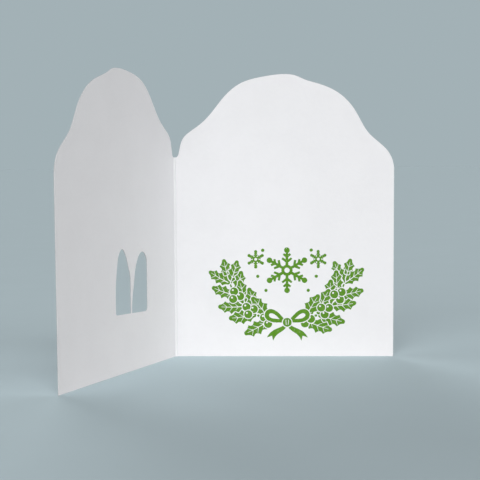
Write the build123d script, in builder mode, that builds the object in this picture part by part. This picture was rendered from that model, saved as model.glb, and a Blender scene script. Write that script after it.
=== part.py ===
from build123d import *
import os
from math import acos, cos, degrees, radians, sin

# A die-cut greeting card, standing open on its foot.
# One sheet of heavy card, cut to a domed outline, creased down the middle and folded once.
# The right panel is the back of the card and stands square to Y, with its inside towards -Y.
# The left panel is the cover, swung forward, with a pair of pointed windows cut through it.
# Run is a distance out from the fold along a panel, and height is measured up from the foot.

# The folded sheet
panel_width = 107.95
panel_height = 139.7
sheet_thickness = 0.35
opening_angle = 111.7

# The crease: a scored strip between two bend lines, raised into a bead on the inside
crease_width = 1.65
bead_height = 0.27

# The notch that parts the two domes at the top of the fold, round at its foot
notch_drop = 40.6
notch_radius = 2.1
notch_flare = 12

# The dome on its fold side: run from the fold, drop below the crown
neck_run = 2.7
neck_drop = 36.0
inner_shoulder_run = 4.2
inner_shoulder_drop = 31.4
inner_slope_run = 10.5
inner_slope_drop = 26.0
inner_hollow_run = 17.0
inner_hollow_drop = 20.4
inner_wall_run = 24.5
inner_wall_drop = 11.2
inner_haunch_run = 33.0
inner_haunch_drop = 4.3

# The crown, offset from the middle of the panel, and the step beside it
crown_offset = 1.0
crown_start_offset = -10.0
crown_start_drop = 1.15
crown_end_offset = 6.3
crown_end_drop = 0.8
step_offset = 10.3
step_drop = 2.6
step_foot_offset = 15.5
step_foot_drop = 4.25

# The dome on its free side: inset from the free edge, drop below the crown
outer_haunch_inset = 28.0
outer_haunch_drop = 8.55
outer_wall_inset = 18.5
outer_wall_drop = 18.2
outer_hollow_inset = 12.0
outer_hollow_drop = 29.1
outer_slope_inset = 6.5
outer_slope_drop = 34.1
outer_shoulder_inset = 2.0
outer_shoulder_drop = 38.9
free_edge_drop = 47.2
free_edge_flare = 0.4

# The pair of windows in the cover, on one sill that rises a little away from the fold
windows_run = 29.3
sill_height = 26.4
sill_rise = 1.3
strut_width = 0.85
strut_foot_radius = 0.4

# The window nearer the fold: insets from its fold side, drops below its apex, a rise above the sill
near_width = 15.1
near_height = 28.6
near_apex_inset = 4.6
near_fold_spring_drop = 10.0
near_fold_haunch_inset = 1.0
near_fold_haunch_drop = 2.6
near_strut_haunch_inset = 9.5
near_strut_haunch_drop = 3.4
near_strut_wall_inset = 12.9
near_strut_wall_drop = 14.0
near_strut_spring_rise = 2.0
near_foot_radius = 2.2

# The window further from the fold: insets from its strut side, drops below its apex
far_width = 14.05
far_height = 31.1
far_apex_inset = 7.85
far_strut_spring_drop = 15.5
far_strut_wall_inset = 1.95
far_strut_wall_drop = 8.75
far_strut_haunch_inset = 4.75
far_strut_haunch_drop = 2.5
far_edge_haunch_inset = 10.85
far_edge_haunch_drop = 2.55
far_edge_wall_inset = 12.3
far_edge_wall_drop = 7.05
far_edge_spring_drop = 20.5
far_foot_radius = 1.2

# The line of the fold stands where the middle of the card's box comes to the origin
swing = 180 - opening_angle
crease_half = crease_width / 2
reach = panel_width + free_edge_flare
cover_dir = Vector(-cos(radians(swing)), -sin(radians(swing)))
cover_out = Vector(-sin(radians(swing)), cos(radians(swing)))
left_reach = -reach * cover_dir.X - sheet_thickness * cover_out.X
front_reach = -reach * cover_dir.Y
fold = Vector((left_reach - reach) / 2, (front_reach - sheet_thickness) / 2)

# Each panel's own plane lies on its inside face: local X is the run, local Y the height
back_plane = Plane(origin=fold, x_dir=(1, 0, 0), z_dir=(0, -1, 0))
cover_plane = Plane(origin=fold, x_dir=cover_dir, z_dir=cover_out)


def below_crown(run, drop):
    """A point of the dome, by its run from the fold and its drop below the crown."""
    return (run, panel_height - drop)


def from_middle(offset, drop):
    """A point of the dome, by its offset from the middle of the panel."""
    return below_crown(panel_width / 2 + offset, drop)


def from_free_edge(inset, drop):
    """A point of the dome, by its inset from the free edge."""
    return below_crown(panel_width - inset, drop)


def near_window(inset, drop):
    """A point of the nearer window, by its inset from the fold side and its drop below the apex."""
    return (windows_run + inset, sill_height + near_height - drop)


def far_window(inset, drop):
    """A point of the further window, by its inset from the strut side and its drop below the apex."""
    return (far_strut_run + inset, sill_height + far_height - drop)


def on_sill(run, rise=0):
    """A point on the sloping sill that both windows share, or straight above it."""
    slope = sill_rise / (far_edge_run - windows_run)
    return (run, sill_height + slope * (run - windows_run) + rise)


# The outline that the die cuts, the same on both panels
with BuildSketch() as panel:
    with BuildLine():
        notch_angle = degrees(acos(crease_half / notch_radius))
        notch_foot = CenterArc(
            below_crown(0, notch_drop - notch_radius),
            radius=notch_radius,
            start_angle=-notch_angle,
            arc_size=notch_angle - notch_flare,
        )
        dome = Spline(
            notch_foot @ 1,
            below_crown(neck_run, neck_drop),
            below_crown(inner_shoulder_run, inner_shoulder_drop),
            below_crown(inner_slope_run, inner_slope_drop),
            below_crown(inner_hollow_run, inner_hollow_drop),
            below_crown(inner_wall_run, inner_wall_drop),
            below_crown(inner_haunch_run, inner_haunch_drop),
            from_middle(crown_start_offset, crown_start_drop),
            from_middle(crown_offset, 0),
            from_middle(crown_end_offset, crown_end_drop),
            from_middle(step_offset, step_drop),
            from_middle(step_foot_offset, step_foot_drop),
            from_free_edge(outer_haunch_inset, outer_haunch_drop),
            from_free_edge(outer_wall_inset, outer_wall_drop),
            from_free_edge(outer_hollow_inset, outer_hollow_drop),
            from_free_edge(outer_slope_inset, outer_slope_drop),
            from_free_edge(outer_shoulder_inset, outer_shoulder_drop),
            from_free_edge(-free_edge_flare, free_edge_drop),
            tangents=[notch_foot % 1, (0, -1)],
            tangent_scalars=[1, 1],
        )
        Polyline(dome @ 1, (panel_width, 0), (crease_half, 0), notch_foot @ 0)
    make_face()

# The two windows, drawn on the cover as the die cuts them, with a narrow strut between
near_strut_run = windows_run + near_width
far_strut_run = near_strut_run + strut_width
far_edge_run = far_strut_run + far_width
with BuildSketch() as windows:
    with BuildLine():
        near_base = FilletPolyline(
            on_sill(near_strut_run, near_strut_spring_rise),
            on_sill(near_strut_run),
            on_sill(windows_run),
            near_window(0, near_fold_spring_drop),
            radius=[strut_foot_radius, near_foot_radius],
        )
        Spline(
            near_base @ 1,
            near_window(near_fold_haunch_inset, near_fold_haunch_drop),
            near_window(near_apex_inset, 0),
            near_window(near_strut_haunch_inset, near_strut_haunch_drop),
            near_window(near_strut_wall_inset, near_strut_wall_drop),
            near_base @ 0,
            tangents=[(0, 1), (0, -1)],
            tangent_scalars=[1, 1],
        )
    make_face()
    with BuildLine():
        far_base = FilletPolyline(
            far_window(far_width, far_edge_spring_drop),
            on_sill(far_edge_run),
            on_sill(far_strut_run),
            far_window(0, far_strut_spring_drop),
            radius=[far_foot_radius, strut_foot_radius],
        )
        Spline(
            far_base @ 1,
            far_window(far_strut_wall_inset, far_strut_wall_drop),
            far_window(far_strut_haunch_inset, far_strut_haunch_drop),
            far_window(far_apex_inset, 0),
            far_window(far_edge_haunch_inset, far_edge_haunch_drop),
            far_window(far_edge_wall_inset, far_edge_wall_drop),
            far_base @ 0,
            tangents=[(0, 1), (0, -1)],
            tangent_scalars=[1, 1],
        )
    make_face()

with BuildPart() as folded_card:
    # The back panel, its inside face towards the viewer
    with BuildSketch(back_plane):
        add(panel.sketch)
    extrude(amount=-sheet_thickness)

    # The cover, with its windows
    with BuildSketch(cover_plane):
        add(panel.sketch)
        add(windows.sketch, mode=Mode.SUBTRACT)
    extrude(amount=sheet_thickness)

    # The creased strip: flat outside, raised into a bead inside
    back_bend = fold + Vector(crease_half, 0)
    cover_bend = fold + cover_dir * crease_half
    inward = Vector(cos(radians(-opening_angle / 2)), sin(radians(-opening_angle / 2)))
    bead_top = (back_bend + cover_bend) / 2 + inward * bead_height
    with BuildSketch(Plane.XY):
        with BuildLine():
            bead = ThreePointArc(back_bend, bead_top, cover_bend)
            Polyline(
                bead @ 1,
                cover_bend + cover_out * sheet_thickness,
                back_bend + Vector(0, sheet_thickness),
                bead @ 0,
            )
        make_face()
    extrude(amount=(notch_foot @ 0).Y)

folded_card.part.label = "folded_card"
os.makedirs("parts", exist_ok=True)
export_step(folded_card.part, "parts/folded_card.step")
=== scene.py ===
# %% [markdown]
# # A die-cut greeting card
# The card is one folded sheet, and its solid comes ready-made in the frame, in metres.
# Here the sheet gets its paper, its cut edges and the ink printed inside, and then a floor,
# light and a camera. The box of the solid is printed, and that of the dressed card at the end.

# %% Load the frame
from math import ceil, cos, pi, radians, sin

import bmesh
import bpy
from mathutils import Matrix, Vector, geometry, noise


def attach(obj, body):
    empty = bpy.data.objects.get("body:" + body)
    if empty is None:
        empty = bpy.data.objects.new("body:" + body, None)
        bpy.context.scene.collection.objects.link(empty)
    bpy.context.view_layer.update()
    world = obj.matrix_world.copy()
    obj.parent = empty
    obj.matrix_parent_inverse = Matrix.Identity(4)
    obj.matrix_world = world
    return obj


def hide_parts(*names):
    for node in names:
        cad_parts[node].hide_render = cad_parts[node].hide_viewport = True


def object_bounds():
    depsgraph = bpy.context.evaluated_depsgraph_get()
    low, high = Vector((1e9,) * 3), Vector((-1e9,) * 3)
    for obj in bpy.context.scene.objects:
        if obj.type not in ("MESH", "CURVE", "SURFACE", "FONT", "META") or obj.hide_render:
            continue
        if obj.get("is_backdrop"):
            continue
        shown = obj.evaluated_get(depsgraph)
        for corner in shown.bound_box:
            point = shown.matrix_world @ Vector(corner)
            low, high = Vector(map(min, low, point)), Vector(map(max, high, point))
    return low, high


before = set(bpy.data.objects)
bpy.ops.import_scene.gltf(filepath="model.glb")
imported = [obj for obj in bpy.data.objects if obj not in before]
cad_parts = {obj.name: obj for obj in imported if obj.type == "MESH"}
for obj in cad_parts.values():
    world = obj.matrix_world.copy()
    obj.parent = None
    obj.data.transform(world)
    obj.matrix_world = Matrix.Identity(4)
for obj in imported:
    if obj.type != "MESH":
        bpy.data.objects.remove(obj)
solid_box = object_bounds()
MM = 0.001
solid_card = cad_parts["folded_card"]


def in_mm(point):
    """A point in millimetres, rounded for printing."""
    return tuple(round(c / MM, 2) for c in point)


print("solid card box", *map(in_mm, solid_box), "mm")

# %% [markdown]
# ## Where the panels are
# Everything printed or finished later has to sit on the sheet. Its planes could be typed in, but
# measured ones stay right when the solid changes. A sheet folded once has four large sides. Adding up
# the area that faces each way finds them, and the two inside planes cross in the line of the fold.

# %% Measure the four large sides
SIDES_OF_SHEET = 4
FACING_DIGITS = 2
SAME_WAY = 0.9999
LARGE_FACE = 0.1 * MM**2

area_facing = {}
for face in solid_card.data.polygons:
    facing = tuple(round(c, FACING_DIGITS) for c in face.normal)
    area_facing[facing] = area_facing.get(facing, 0.0) + face.area
by_area = sorted(area_facing, key=area_facing.get, reverse=True)
large_sides = [Vector(facing).normalized() for facing in by_area[:SIDES_OF_SHEET]]
back_inside = min(large_sides, key=lambda side: side.y)
cover_inside = max(large_sides, key=lambda side: side.x)


def point_on(side):
    """A point on the large side that faces this way."""
    for face in solid_card.data.polygons:
        if face.normal.dot(side) > SAME_WAY and face.area > LARGE_FACE:
            return face.center.copy()


inside_y = point_on(back_inside).y
from_back = point_on(cover_inside) - Vector((0, inside_y, 0))
fold = Vector((from_back.dot(cover_inside) / cover_inside.x, inside_y, 0))
print("fold at", in_mm(fold), "mm, cover facing", tuple(cover_inside))

# %% [markdown]
# ## Camera
# The card stands a little more than half a metre from a longish lens. A camera set by eye would do
# for a picture, but sizes can't be compared through it. So its place, turn and tilt were worked out
# from the card's own corners in the photograph, and are given from the foot of the fold. A camera
# looks along its own -Z, so it is stood up by a quarter turn first.

# %% Set up the camera
CAMERA_FROM_FOLD = Vector((57.4, -594.3, 98.5)) * MM
CAMERA_TURN = radians(2.42)
CAMERA_TILT = radians(-3.88)
CAMERA_ROLL = radians(-0.42)
QUARTER_TURN = pi / 2
FOCAL_PIXELS = 1202
IMAGE_PIXELS = 480
SENSOR_WIDTH = 36

camera_data = bpy.data.cameras.new("card_camera")
camera_data.sensor_width = SENSOR_WIDTH
camera_data.lens = FOCAL_PIXELS / IMAGE_PIXELS * SENSOR_WIDTH
camera = bpy.data.objects.new("card_camera", camera_data)
bpy.context.scene.collection.objects.link(camera)
camera.matrix_world = (
    Matrix.Translation(fold + CAMERA_FROM_FOLD)
    @ Matrix.Rotation(CAMERA_TURN, 4, "Z")
    @ Matrix.Rotation(QUARTER_TURN + CAMERA_TILT, 4, "X")
    @ Matrix.Rotation(CAMERA_ROLL, 4, "Z")
)
bpy.context.scene.camera = camera
print("lens", round(camera_data.lens, 1), "mm")

# %% [markdown]
# ## Shader sums as Python
# A finish is a small sum over noise fields. Wiring such sums by hand hides them, so one class
# stands for a socket: its operators add Math nodes, and `node` adds anything else. Settings are
# set before the sockets, because some of them change which sockets a node has. A Mix node keeps its
# sockets for numbers, vectors and colours all in one row, so the colour ones are named here.

# %% A socket that can be used in sums
MIX_FACTOR = 0
MIX_FIRST = 6
MIX_SECOND = 7
MIX_RESULT = 2


class Field:
    """A node's output. Operators on it add Math nodes to its own tree."""

    def __init__(self, socket):
        self.socket = socket

    @property
    def tree(self):
        return self.socket.id_data

    @staticmethod
    def node(tree, kind, settings, sockets, output=0):
        """Adds a node to a tree: its settings first, and then values or links for its sockets."""
        made = tree.nodes.new("ShaderNode" + kind)
        for name, value in settings.items():
            setattr(made, name, value)
        for key, value in sockets.items():
            if isinstance(value, Field):
                tree.links.new(value.socket, made.inputs[key])
            else:
                made.inputs[key].default_value = value
        return Field(made.outputs[output])

    def maths(self, operation, first, second):
        return self.node(self.tree, "Math", {"operation": operation}, {0: first, 1: second})

    def __add__(self, other):
        return self.maths("ADD", self, other)

    def __radd__(self, other):
        return self.maths("ADD", other, self)

    def __mul__(self, other):
        return self.maths("MULTIPLY", self, other)

    def __rmul__(self, other):
        return self.maths("MULTIPLY", other, self)

    def noise(self, grain, detail=2.0, roughness=0.5):
        """A noise from 0 to 1 over this point, with grains about this many metres across."""
        settings = {"noise_dimensions": "3D"}
        sockets = {"Vector": self, "Scale": 1 / grain, "Detail": detail, "Roughness": roughness}
        return self.node(self.tree, "TexNoise", settings, sockets)

    def stretched(self, x, y, z):
        """This point with its coordinates multiplied."""
        return self.node(self.tree, "VectorMath", {"operation": "MULTIPLY"}, {0: self, 1: (x, y, z)})

    def between(self, low, high):
        """This value as a smooth step, 0 at low and 1 at high."""
        settings = {"interpolation_type": "SMOOTHSTEP", "clamp": True}
        sockets = {"Value": self, "From Min": low, "From Max": high}
        return self.node(self.tree, "MapRange", settings, sockets)

    def mix(self, first, second):
        """A colour that goes from the first to the second as this value goes from 0 to 1."""
        sockets = {MIX_FACTOR: self, MIX_FIRST: first, MIX_SECOND: second}
        return self.node(self.tree, "Mix", {"data_type": "RGBA"}, sockets, MIX_RESULT)

    def bump(self, depth):
        """A normal, as if this height from 0 to 1 stood this many metres deep."""
        sockets = {"Height": self, "Strength": 1.0, "Distance": depth}
        return self.node(self.tree, "Bump", {}, sockets, "Normal")


print("shader sums ready")

# %% [markdown]
# ## Starting a finish
# Every finish starts in the same way, from a Principled shader and the point on the surface in
# metres. A grain can then be given at its real size, and it needs no unwrapping. What changes over
# the surface is linked, and what is the same all over is set on the shader's own socket.

# %% Start and wire a finish
def new_finish(name):
    """A material with its shader, and the point on the surface as a Field, in metres."""
    material = bpy.data.materials.new(name)
    material.use_nodes = True
    tree = material.node_tree
    point = Field.node(tree, "TexCoord", {}, {}, "Object")
    return material, tree.nodes["Principled BSDF"], point


def wire(shader, **inputs):
    """Links Fields to the shader's sockets, whose spaces are written as underscores."""
    for name, field in inputs.items():
        shader.id_data.links.new(field.socket, shader.inputs[name.replace("_", " ")])


print("finishes can be started")

# %% [markdown]
# ## Card stock
# Heavy uncoated card is nearly white, a little blue from its brightener, and dull. Close to, it has
# a felted tooth, and its tone drifts by two or three hundredths where the fibres lie thicker. Three
# noises of different grain give both: the finest counts most in the height, the coarsest in the tone.
# A paper photograph would be quicker, but a node finish has no edges or repeats and can be looked at
# from any distance.

# %% Make the card stock
PAPER_WHITE = (0.866, 0.872, 0.892, 1)
PAPER_SHADE = (0.841, 0.847, 0.867, 1)
PAPER_CONTRAST = (0.3, 0.75)
PAPER_ROUGHNESS = 0.72
PAPER_SPECULAR = 0.25
TOOTH_GRAIN = 0.35 * MM
FELT_GRAIN = 1.6 * MM
CLOUD_GRAIN = 14 * MM
TOOTH_DEPTH = 0.1 * MM
TOOTH_ROUGHNESS = 0.16


def make_card_stock():
    material, shader, point = new_finish("card_stock")
    tooth = point.noise(TOOTH_GRAIN, detail=3.0, roughness=0.6)
    felt = point.noise(FELT_GRAIN)
    cloud = point.noise(CLOUD_GRAIN)
    tone = 0.55 * cloud + 0.3 * felt + 0.15 * tooth
    height = 0.45 * tooth + 0.35 * felt + 0.2 * cloud
    wire(
        shader,
        Base_Color=tone.between(*PAPER_CONTRAST).mix(PAPER_WHITE, PAPER_SHADE),
        Roughness=PAPER_ROUGHNESS + TOOTH_ROUGHNESS * tooth,
        Normal=height.bump(TOOTH_DEPTH),
    )
    shader.inputs["Specular IOR Level"].default_value = PAPER_SPECULAR
    return material


card_stock = make_card_stock()
print("finish", card_stock.name)

# %% [markdown]
# ## Cut edges
# The die shears the board, so a cut edge is rougher than the faces, and shows the fibres lying in
# plies along the sheet. Its colour is painted greyer than the paper's: painted shade for the shadow
# among its open fibres, which also dims the rim where the light strikes it. Fibres could be modelled
# as hair, but they would be finer than anything that shows. The same noise as before, stretched
# along the edge's height, gives short streaks instead.

# %% Make the cut edge
# Both edge colours are painted darker than the paper: painted shade for the fibres and the lit rim.
EDGE_PALE_WITH_PAINTED_SHADE = (0.63, 0.636, 0.648, 1)
EDGE_DARK_WITH_PAINTED_SHADE = (0.51, 0.515, 0.525, 1)
EDGE_CONTRAST = (0.35, 0.75)
EDGE_ROUGHNESS = 0.85
EDGE_SPECULAR = 0.2
PLY_STRETCH = (1.0, 1.0, 0.15)
PLY_GRAIN = 0.12 * MM
PLY_DEPTH = 0.02 * MM
PLY_ROUGHNESS = 0.1


def make_cut_edge():
    material, shader, point = new_finish("cut_edge")
    plies = point.stretched(*PLY_STRETCH).noise(PLY_GRAIN, detail=3.0, roughness=0.7)
    burr = point.noise(FELT_GRAIN)
    tone = 0.7 * plies + 0.3 * burr
    # The edge's base colour holds painted shade, darker than the paper.
    wire(
        shader,
        Base_Color=tone.between(*EDGE_CONTRAST).mix(EDGE_PALE_WITH_PAINTED_SHADE, EDGE_DARK_WITH_PAINTED_SHADE),
        Roughness=EDGE_ROUGHNESS + PLY_ROUGHNESS * plies,
        Normal=plies.bump(PLY_DEPTH),
    )
    shader.inputs["Specular IOR Level"].default_value = EDGE_SPECULAR
    return material


cut_edge = make_cut_edge()
print("finish", cut_edge.name)

# %% [markdown]
# ## The edges of the sheet
# The solid has the true form, but perfectly sharp edges, and no die leaves those. A Bevel modifier
# could round them, but points that lie on no sharp edge are left over inside the sides of the cut,
# and they would spoil the rounding. So bmesh works on a copy of the mesh: it joins the flat triangles
# again, dissolves those points, and rounds every sharp edge by a hair.

# %% Round the edges
MERGE_GAP = 0.002 * MM
FLAT = radians(0.2)
SHARP = radians(40)
EDGE_ROUND = 0.05 * MM
ROUND_STEPS = 2


def is_sharp(edge):
    return edge.calc_face_angle(0) > SHARP


def round_edges(bm):
    bmesh.ops.remove_doubles(bm, verts=bm.verts, dist=MERGE_GAP)
    bmesh.ops.dissolve_limit(bm, angle_limit=FLAT, verts=bm.verts, edges=bm.edges)
    left_over = [v for v in bm.verts if not any(is_sharp(e) for e in v.link_edges)]
    bmesh.ops.dissolve_verts(bm, verts=left_over)
    bmesh.ops.bevel(
        bm,
        geom=[e for e in bm.edges if is_sharp(e)],
        offset=EDGE_ROUND,
        offset_type="OFFSET",
        segments=ROUND_STEPS,
        profile=0.5,
        affect="EDGES",
        clamp_overlap=False,
    )


sheet_bm = bmesh.new()
sheet_bm.from_mesh(solid_card.data)
round_edges(sheet_bm)
print("faces of the sheet", len(sheet_bm.faces), "from", len(solid_card.data.polygons))

# %% [markdown]
# ## The sheet
# The faces of the cut get the edge finish. They could be picked by hand, but a rule finds them all:
# they face none of the ways of the panels. The crease keeps the card stock, because it isn't cut.
# Smooth shading would bend the light on the large flat sides and along the crease, so a Weighted
# Normal modifier lets the largest face at each corner decide which way it faces.

# %% Make the sheet
PANEL_WAY = 0.99
CREASE_REACH = 1.0 * MM
CUT_TILT = 0.3
LARGEST_DECIDES = 100


def is_cut(face):
    """True for a face that the die made: it faces none of the panels' ways, and isn't the crease."""
    if any(face.normal.dot(side) > PANEL_WAY for side in large_sides):
        return False
    from_fold = (face.calc_center_median() - fold).xy.length
    return from_fold > CREASE_REACH or abs(face.normal.z) > CUT_TILT


def make_sheet(bm):
    mesh = bpy.data.meshes.new("card_sheet")
    mesh.materials.append(card_stock)
    mesh.materials.append(cut_edge)
    for face in bm.faces:
        face.material_index = 1 if is_cut(face) else 0
        face.smooth = True
    bm.to_mesh(mesh)
    bm.free()
    sheet = bpy.data.objects.new("card_sheet", mesh)
    weighted = sheet.modifiers.new("weighted_normals", "WEIGHTED_NORMAL")
    weighted.weight = LARGEST_DECIDES
    bpy.context.scene.collection.objects.link(sheet)
    return sheet


card_sheet = make_sheet(sheet_bm)
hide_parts("folded_card")
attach(card_sheet, "root")
print("cut faces", sum(face.material_index for face in card_sheet.data.polygons))

# %% [markdown]
# ## A printing plate
# The inside carries one colour of ink, printed from a cut block: solid shapes with their veins and
# folds left bare. A plate is a list of outlines in millimetres, laid one over the other. Each one
# either takes ink or clears it, and the last one laid at a spot decides. That is how a block is cut
# too, and it saves working out unions and holes.

# %% The plate and its lines
plate = []


def ink(outline):
    plate.append((outline, True))


def clear(outline):
    plate.append((outline, False))


def heading(angle):
    return Vector((cos(angle), sin(angle)))


def steps(start, end, count):
    """Evenly spaced values from start to end, both included."""
    return [start + (end - start) * i / (count - 1) for i in range(count)]


def stroke(points, widths):
    """The outline of a line through the points, with its own width at each of them."""
    left, right = [], []
    for i, point in enumerate(points):
        along = points[min(i + 1, len(points) - 1)] - points[max(i - 1, 0)]
        side = Vector((-along.y, along.x)).normalized() * widths[i] / 2
        left.append(point + side)
        right.append(point - side)
    return right + left[::-1]


def grown(outline, by):
    """The outline moved outwards, for the bare line that parts one shape from the next."""
    moved = []
    for i, point in enumerate(outline):
        along = outline[(i + 1) % len(outline)] - outline[i - 1]
        moved.append(point + by * Vector((along.y, -along.x)).normalized())
    return moved


print("plate ready")

# %% [markdown]
# ## Holly leaves
# A holly leaf is a long oval with spines, and its edge dips between one spine and the next. It could
# be drawn point by point, but then each size of leaf needs a drawing. Here a sine gives the oval and
# the fold of another sine the dips, so one formula draws the whole edge. The vein down the middle and
# its branches are cleared, as a cutter would gouge them out.

# %% Draw a leaf
PARTING = 0.45
LEAF_DIPS = 4
DIP_DEPTH = 0.38
LEAF_FULLNESS = 0.55
LEAF_POINTS = 49
VEIN_SHARES = (0.08, 0.88)
VEIN_WIDTHS = (0.5, 0.2)
VEIN_POINTS = 13
BRANCH_SHARES = (0.25, 0.46, 0.67)
BRANCH_WIDTHS = (0.34, 0.16)
BRANCH_ANGLE = radians(48)
BRANCH_REACH = 0.45
BRANCH_LEAD = 0.07


def leaf_width(share, width):
    """The leaf's width at a share of its length, widest at the spines."""
    dip = abs(sin(LEAF_DIPS * pi * share))
    return width * sin(pi * share) ** LEAF_FULLNESS * (1 - DIP_DEPTH * dip)


def draw_leaf(base, angle, length, width, bend):
    along = heading(angle)
    across = heading(angle + pi / 2)

    def midrib(share):
        return base + length * (share * along + bend * share**2 * across)

    shares = steps(0, 1, LEAF_POINTS)[1:-1]
    sides = stroke([midrib(s) for s in shares], [leaf_width(s, width) for s in shares])
    outline = [midrib(0), *sides[: len(shares)], midrib(1), *sides[len(shares) :]]
    clear(grown(outline, PARTING))
    ink(outline)
    vein = steps(*VEIN_SHARES, VEIN_POINTS)
    clear(stroke([midrib(s) for s in vein], steps(*VEIN_WIDTHS, VEIN_POINTS)))
    for share in BRANCH_SHARES:
        reach = BRANCH_REACH * leaf_width(share + BRANCH_LEAD, width)
        for side in (-1, 1):
            tip = midrib(share) + reach * heading(angle + side * BRANCH_ANGLE)
            clear(stroke([midrib(share), tip], BRANCH_WIDTHS))


print("leaf ready, with", LEAF_DIPS - 1, "spines on each side")

# %% [markdown]
# ## Two boughs
# The boughs part from the bow at the foot of the print and rise on both sides along the lower half
# of an oval. Leaves stand on them in pairs that shorten towards the tip, with a last leaf in line with
# the bough. Setting each leaf by hand would take long, so a loop sets the pairs, and a small drift in
# how far they lean keeps them from looking stamped.

# %% Lay out the boughs
PRINT_MIDDLE = 55.5
OVAL_CENTRE = Vector((PRINT_MIDDLE, 44.0))
OVAL_RADII = Vector((29.5, 27.0))
BOUGH_START = radians(-80)
BOUGH_END = radians(-16)
BOUGH_WIDTHS = (1.3, 0.7)
BOUGH_POINTS = 31
PAIRS = 5
FIRST_PAIR = radians(-73)
PAIR_LENGTHS = (14.5, 12.0)
PAIR_WIDTHS = (7.6, 6.4)
PAIR_BEND = -0.1
PAIR_LEAN = radians(46)
LEAN_DRIFT = radians(5)
DRIFT_STEP = 3
TIP_LENGTH = 12.5
TIP_WIDTH = 6.6
TIP_BEND = 0.05


def on_oval(turn, side):
    """A point of the bough on the right, or its mirror image on the left."""
    return OVAL_CENTRE + Vector((side * OVAL_RADII.x * cos(turn), OVAL_RADII.y * sin(turn)))


def bough_angle(turn, side):
    along = Vector((-side * OVAL_RADII.x * sin(turn), OVAL_RADII.y * cos(turn)))
    return along.angle_signed(Vector((1, 0)))


def draw_bough(side):
    stem = [on_oval(turn, side) for turn in steps(BOUGH_START, BOUGH_END, BOUGH_POINTS)]
    ink(stroke(stem, steps(*BOUGH_WIDTHS, BOUGH_POINTS)))
    tip, tip_angle = on_oval(BOUGH_END, side), bough_angle(BOUGH_END, side)
    draw_leaf(tip, tip_angle, TIP_LENGTH, TIP_WIDTH, TIP_BEND * side)
    turns = steps(FIRST_PAIR, BOUGH_END, PAIRS)
    lengths = steps(*PAIR_LENGTHS, PAIRS)
    widths = steps(*PAIR_WIDTHS, PAIRS)
    for i in reversed(range(PAIRS)):
        base, angle = on_oval(turns[i], side), bough_angle(turns[i], side)
        for way in (-1, 1):
            lean = PAIR_LEAN + LEAN_DRIFT * sin(DRIFT_STEP * i + way)
            draw_leaf(base, angle + way * lean, lengths[i], widths[i], PAIR_BEND * way)


for bough_side in (-1, 1):
    draw_bough(bough_side)
print("outlines on the plate", len(plate))

# %% [markdown]
# ## Berries
# Berries sit in threes where the leaves meet. They could be small balls, but this is a print, so each
# is a disc of ink in a slightly larger cleared disc, which parts it from the leaves under it. A small
# cleared disc is its glint.

# %% Draw the berries
DISC_SIDES = 40
GLINT_SIDES = 20
BERRY_RADIUS = 2.0
BERRY_SPREAD = 2.2
BERRY_WAYS = (radians(-130), radians(-10), radians(110))
BERRY_SHARES = (0.14, 0.46, 0.78)
GLINT_RADIUS = 0.5
GLINT_FROM_MIDDLE = Vector((-0.6, 0.7))


def disc(at, radius, sides=DISC_SIDES):
    return [at + radius * heading(2 * pi * i / sides) for i in range(sides)]


def draw_berries(turn, side):
    base, angle = on_oval(turn, side), bough_angle(turn, side)
    for way in BERRY_WAYS:
        at = base + BERRY_SPREAD * heading(angle + way)
        clear(disc(at, BERRY_RADIUS + PARTING))
        ink(disc(at, BERRY_RADIUS))
        clear(disc(at + GLINT_FROM_MIDDLE, GLINT_RADIUS, GLINT_SIDES))


for berry_side in (-1, 1):
    for berry_share in BERRY_SHARES:
        draw_berries(BOUGH_START + (BOUGH_END - BOUGH_START) * berry_share, berry_side)
print("outlines on the plate", len(plate))

# %% [markdown]
# ## Snow
# One large snow crystal fills the middle, with two small ones and a few flakes beside it. Each could
# be drawn by itself, but all three are one function: an arm with its branches, in shares of the arm's
# length, turned six times. The thicknesses are shares of one line, so that a crystal keeps its look
# at any size.

# %% Draw the snow
CRYSTAL_HEIGHT = 43.0
CRYSTAL_RADIUS = 10.0
CRYSTAL_LINE = 1.45
SMALL_CRYSTAL = Vector((15.5, 48.5))
SMALL_RADIUS = 3.8
SMALL_LINE = 0.8
FIRST_ARM = 90
ARM_STEP = 60
ARMS = 6
ICE_BRANCHES = ((0.42, 0.3), (0.68, 0.22))
ICE_LEAN = radians(52)
ARM_TAPER = (1.0, 0.8)
ICE_BRANCH_TAPER = (0.9, 0.7)
TIP_DISC = 0.95
HUB_DISC = 1.9
HUB_HOLE = 0.9
FLAKES = (Vector((10.5, 33.0)), Vector((12.0, 53.0)), Vector((14.5, 40.0)))
FLAKE_RADIUS = 0.8
SMALL_SIDES = 24


def draw_crystal(at, radius, line):
    arm_widths = [line * share for share in ARM_TAPER]
    branch_widths = [line * share for share in ICE_BRANCH_TAPER]
    for i in range(ARMS):
        arm = radians(FIRST_ARM + ARM_STEP * i)
        tip = at + radius * heading(arm)
        ink(stroke([at, tip], arm_widths))
        ink(disc(tip, TIP_DISC * line, SMALL_SIDES))
        for share, reach in ICE_BRANCHES:
            start = at + share * radius * heading(arm)
            for side in (-1, 1):
                end = start + reach * radius * heading(arm + side * ICE_LEAN)
                ink(stroke([start, end], branch_widths))
    ink(disc(at, HUB_DISC * line))
    clear(disc(at, HUB_HOLE * line, SMALL_SIDES))


def on_both_sides(place):
    """The place to the right of the print's middle, and its mirror image."""
    return [Vector((PRINT_MIDDLE + side * place.x, place.y)) for side in (-1, 1)]


draw_crystal(Vector((PRINT_MIDDLE, CRYSTAL_HEIGHT)), CRYSTAL_RADIUS, CRYSTAL_LINE)
for spot in on_both_sides(SMALL_CRYSTAL):
    draw_crystal(spot, SMALL_RADIUS, SMALL_LINE)
for flake in FLAKES:
    for spot in on_both_sides(flake):
        ink(disc(spot, FLAKE_RADIUS, SMALL_SIDES))
print("outlines on the plate", len(plate))

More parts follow.
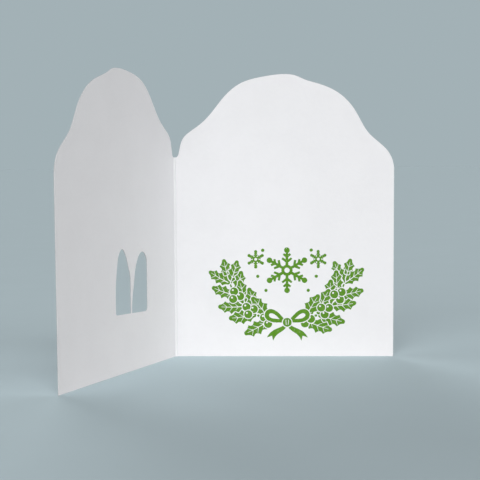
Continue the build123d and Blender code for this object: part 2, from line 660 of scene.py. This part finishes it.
# %% [markdown]
# ## Bow
# A loop of ribbon is a drop with its point at the knot, and a smaller drop cleared inside it shows
# that it is hollow. The tails could be polygons, but a ribbon bends, so they follow a Bezier curve,
# which needs only two ends and two handles. They widen as they go and end in a notch. The knot comes
# last, because it lies on top.

# %% Draw the bow
BOW_HEIGHT = 17.0
KNOT_RADIUS = 2.2
KNOT_FOLD = Vector((0.7, 1.3))
KNOT_TAPER = 0.7
KNOT_LINE = 0.3
LOOP_ANGLE = radians(24)
LOOP_LENGTH = 12.0
LOOP_WIDTH = 4.3
HOLLOW_FROM_KNOT = 4.0
HOLLOW_LENGTH = 5.8
HOLLOW_WIDTH = 1.6
DROP_POINTS = 60
DROP_TAPER = 1.4
TAIL_BEND = ((0.3, -0.5), (2.0, -4.5), (6.5, -3.5), (8.6, -8.4))
TAIL_WIDTHS = (1.4, 3.6)
TAIL_POINTS = 16
TAIL_NOTCH = -3


def drop(at, angle, length, width):
    along, across = heading(angle), heading(angle + pi / 2)
    edge = []
    for i in range(DROP_POINTS):
        turn = 2 * pi * i / DROP_POINTS
        out = length * (1 - cos(turn)) / 2
        aside = width * sin(turn) * sin(turn / 2) ** DROP_TAPER
        edge.append(at + out * along - aside * across)
    return edge


def draw_tail(at, side):
    bend = [at + Vector((side * x, y)) for x, y in TAIL_BEND]
    tail = geometry.interpolate_bezier(*bend, TAIL_POINTS)
    ribbon = stroke(tail, steps(*TAIL_WIDTHS, TAIL_POINTS))
    ribbon.insert(TAIL_POINTS, tail[TAIL_NOTCH])
    clear(grown(ribbon, PARTING))
    ink(ribbon)


def draw_loop(at, angle):
    loop = drop(at, angle, LOOP_LENGTH, LOOP_WIDTH)
    clear(grown(loop, PARTING))
    ink(loop)
    clear(drop(at + HOLLOW_FROM_KNOT * heading(angle), angle, HOLLOW_LENGTH, HOLLOW_WIDTH))


def draw_knot(at):
    clear(disc(at, KNOT_RADIUS + PARTING))
    ink(disc(at, KNOT_RADIUS))
    for side in (-1, 1):
        top = at + Vector((side * KNOT_FOLD.x, KNOT_FOLD.y))
        foot = at + Vector((KNOT_TAPER * side * KNOT_FOLD.x, -KNOT_FOLD.y))
        clear(stroke([top, foot], [KNOT_LINE, KNOT_LINE]))


bow = Vector((PRINT_MIDDLE, BOW_HEIGHT))
for bow_side in (-1, 1):
    draw_tail(bow, bow_side)
for loop_angle in (LOOP_ANGLE, pi - LOOP_ANGLE):
    draw_loop(bow, loop_angle)
draw_knot(bow)
print("outlines on the plate", len(plate))

# %% [markdown]
# ## Cut by hand
# A knife doesn't follow a curve exactly, and true arcs and straight lines look like a computer's. So
# each outline gets close points, and a noise moves them by up to about a tenth of a millimetre. The
# seed is set first, because this noise starts somewhere else in every run of Blender without one.

# %% Cut the outlines
CUT_STEP = 0.4
WOBBLE = 0.09
WOBBLE_GRAIN = 1.1
WOBBLE_SEED = 7


def hand_cut(outline):
    """The outline with close points, each moved by a hair, as a hand-cut edge wanders."""
    cut = []
    for i, point in enumerate(outline):
        side = outline[(i + 1) % len(outline)] - point
        count = ceil(side.length / CUT_STEP)
        cut += [point + side * k / count for k in range(count)]
    wander = [noise.noise_vector(point.to_3d() / WOBBLE_GRAIN).xy for point in cut]
    return [point + WOBBLE * away for point, away in zip(cut, wander)]


noise.seed_set(WOBBLE_SEED)
cut_plate = [(hand_cut(outline), inked) for outline, inked in plate]
print("points on the plate", sum(len(outline) for outline, _ in cut_plate))

# %% [markdown]
# ## From plate to ink
# Boolean modifiers could cut the shapes out of each other, but hundreds of them are slow, and flat
# shapes that touch often break them. Instead all outlines go into one constrained triangulation,
# which cuts them against each other and says for each triangle which outlines it lies in. The last
# of those decides whether it takes ink.

# %% Find the inked triangles
INSIDE_ONLY = 1
SAME_POINT = 1e-5


def inked_triangles():
    points, outlines = [], []
    for outline, _ in cut_plate:
        outlines.append(list(range(len(points), len(points) + len(outline))))
        points += outline
    found = geometry.delaunay_2d_cdt(points, [], outlines, INSIDE_ONLY, SAME_POINT, True)
    corners, _, triangles, _, _, sources = found
    kept = [t for t, source in zip(triangles, sources) if source and cut_plate[max(source)][1]]
    return corners, kept


ink_corners, ink_triangles = inked_triangles()
print("inked triangles", len(ink_triangles))

# %% [markdown]
# ## The film of ink
# Ink lies on the paper as a thin film. It could be a colour in the card's own finish, but its edges
# are sharper as a mesh. So the triangles are laid on the inside of the back, sunk a little into the
# paper, and given the thickness of a film. That makes it a closed body with no face in the plane of
# the sheet.

# %% Print the plate
INK_ABOVE = 0.02 * MM
INK_BELOW = 0.01 * MM
FACING_READER = -0.9


def print_plate(corners, triangles):
    bm = bmesh.new()
    verts = [bm.verts.new((fold.x + c.x * MM, inside_y + INK_BELOW, c.y * MM)) for c in corners]
    for triangle in triangles:
        bm.faces.new([verts[i] for i in triangle])
    loose = [v for v in bm.verts if not v.link_faces]
    bmesh.ops.delete(bm, geom=loose, context="VERTS")
    film = bmesh.ops.extrude_face_region(bm, geom=bm.faces[:])
    raised = [v for v in film["geom"] if isinstance(v, bmesh.types.BMVert)]
    bmesh.ops.translate(bm, verts=raised, vec=(0, -INK_ABOVE - INK_BELOW, 0))
    bmesh.ops.recalc_face_normals(bm, faces=bm.faces)
    mesh = bpy.data.meshes.new("holly_print")
    bm.to_mesh(mesh)
    bm.free()
    piece = bpy.data.objects.new("holly_print", mesh)
    bpy.context.scene.collection.objects.link(piece)
    return piece


holly_print = print_plate(ink_corners, ink_triangles)
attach(holly_print, "root")
film_area = sum(face.area for face in holly_print.data.polygons if face.normal.y < FACING_READER)
print("ink on", round(film_area / MM**2), "square mm, faces", len(holly_print.data.polygons))

# %% [markdown]
# ## Ink
# The ink is one leaf green. On a toothy sheet it doesn't lie evenly: it is a little thinner on the
# high fibres, and here and there a pinhole shows the paper. One flat green would look like plastic.
# Noises of the same grain as the card's thin the colour, another one makes the pinholes, and the bump
# is far shallower than the paper's, because the ink fills the tooth.

# %% Make the ink
INK_GREEN = (0.099, 0.266, 0.018, 1)
INK_THIN = (0.138, 0.318, 0.036, 1)
INK_CONTRAST = (0.42, 0.72)
INK_ROUGHNESS = 0.6
INK_TOOTH_ROUGHNESS = 0.25
INK_TOOTH_DEPTH = 0.012 * MM
INK_SPECULAR = 0.15
PINHOLE_GRAIN = 0.5 * MM
PINHOLE_EDGE = (0.74, 0.78)
PINHOLE_BARENESS = 0.8


def make_print_ink():
    material, shader, point = new_finish("print_ink")
    felt = point.noise(FELT_GRAIN, detail=3.0)
    tooth = point.noise(TOOTH_GRAIN, detail=2.0)
    thin = (0.6 * felt + 0.4 * tooth).between(*INK_CONTRAST)
    pinhole = point.noise(PINHOLE_GRAIN, detail=1.0).between(*PINHOLE_EDGE)
    green = thin.mix(INK_GREEN, INK_THIN)
    wire(
        shader,
        Base_Color=(PINHOLE_BARENESS * pinhole).mix(green, PAPER_SHADE),
        Roughness=INK_ROUGHNESS + INK_TOOTH_ROUGHNESS * tooth,
        Normal=tooth.bump(INK_TOOTH_DEPTH),
    )
    shader.inputs["Specular IOR Level"].default_value = INK_SPECULAR
    return material


holly_print.data.materials.append(make_print_ink())
print("finish", holly_print.data.materials[0].name)

# %% [markdown]
# ## Floor
# A white card shows best on a floor that is pale but not white, so the camera sees one large disc of
# pale grey-blue, dull all over. White paper would take on that tint from the light that comes back up
# from the floor. A photographer lays white board around the thing for this. Here Light Path nodes
# tell the two apart: the floor throws back neutral light, and the camera still sees its own tone.

# %% Make the floor
FLOOR_REACH = 12.0
FLOOR_SIDES = 96
FLOOR_GRAIN = 50 * MM
FLOOR_TONE = (0.442, 0.532, 0.566, 1)
FLOOR_SHADE = (0.428, 0.515, 0.547, 1)
FLOOR_BOUNCE = (0.7, 0.7, 0.7, 1)
FLOOR_ROUGHNESS = 0.9
FLOOR_SPECULAR = 0.0
SEEN_RAYS = ("Is Camera Ray", "Is Glossy Ray", "Is Transmission Ray")


def seen(tree):
    """1 for what the camera sees, directly or in a reflection, and 0 for light that falls on things."""
    camera_ray, glossy_ray, clear_ray = (Field.node(tree, "LightPath", {}, {}, ray) for ray in SEEN_RAYS)
    return camera_ray + glossy_ray + clear_ray


def make_floor():
    material, shader, point = new_finish("studio_floor")
    tone = point.noise(FLOOR_GRAIN).mix(FLOOR_TONE, FLOOR_SHADE)
    wire(shader, Base_Color=seen(material.node_tree).mix(FLOOR_BOUNCE, tone))
    shader.inputs["Roughness"].default_value = FLOOR_ROUGHNESS
    shader.inputs["Specular IOR Level"].default_value = FLOOR_SPECULAR
    bm = bmesh.new()
    bmesh.ops.create_circle(bm, cap_ends=True, segments=FLOOR_SIDES, radius=FLOOR_REACH)
    mesh = bpy.data.meshes.new("studio_floor")
    bm.to_mesh(mesh)
    bm.free()
    mesh.materials.append(material)
    floor = bpy.data.objects.new("studio_floor", mesh)
    bpy.context.scene.collection.objects.link(floor)
    return floor


make_floor()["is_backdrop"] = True
print("floor reaches", FLOOR_REACH, "m")

# %% [markdown]
# ## Light and surroundings
# The main light is a broad sun in front, over the reader's shoulder, with two weaker ones to its left
# and right. Together they meet the back at a better angle than the cover, so the fold is modelled. One
# low behind keeps the outside white, and shades its two sides apart too. A lamp close by would fall
# off across the floor, but suns light it the same everywhere. So the surroundings, where the camera
# or a reflection sees them, can take the tone of the lit floor, and no horizon shows. To all other
# rays they are dark, and the floor alone fills the shadows.

# %% Set the lights
SUN_WIDTH = radians(35)
SUNS = {
    "front_sun": {"from": Vector((0.06, -0.6, 0.8)), "strength": 1.73},
    "left_sun": {"from": Vector((-0.35, -0.85, 0.4)), "strength": 0.87},
    "right_sun": {"from": Vector((0.75, -0.5, 0.5)), "strength": 0.68},
    "back_sun": {"from": Vector((-0.32, 0.85, 0.25)), "strength": 2.2},
}
DARK = (0, 0, 0, 1)


def make_sun(name, sun):
    data = bpy.data.lights.new(name, "SUN")
    data.energy = sun["strength"]
    data.angle = SUN_WIDTH
    lamp = bpy.data.objects.new(name, data)
    lamp.rotation_euler = sun["from"].to_track_quat("Z", "Y").to_euler()
    bpy.context.scene.collection.objects.link(lamp)


def lit_floor_tone():
    """The tone that the suns give an open floor."""
    light = sum(sun["strength"] * sun["from"].normalized().z / pi for sun in SUNS.values())
    return [*((a + b) / 2 * light for a, b in zip(FLOOR_TONE[:3], FLOOR_SHADE[:3])), 1]


def make_surroundings():
    world = bpy.data.worlds.new("studio_surroundings")
    world.use_nodes = True
    tree = world.node_tree
    tone = seen(tree).mix(DARK, lit_floor_tone())
    tree.links.new(tone.socket, tree.nodes["Background"].inputs["Color"])
    bpy.context.scene.world = world


for sun_name, sun_values in SUNS.items():
    make_sun(sun_name, sun_values)
make_surroundings()
bpy.context.scene.view_settings.view_transform = "Standard"
print("suns", len(SUNS), "lit floor", [round(tone, 3) for tone in lit_floor_tone()[:3]])

# %% [markdown]
# ## The dressed card's size
# The dressed card has to stay within the box of the solid, so its box is printed beside the solid's.

# %% Print the dressed box
dressed_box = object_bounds()
print("dressed card box", *map(in_mm, dressed_box), "mm")
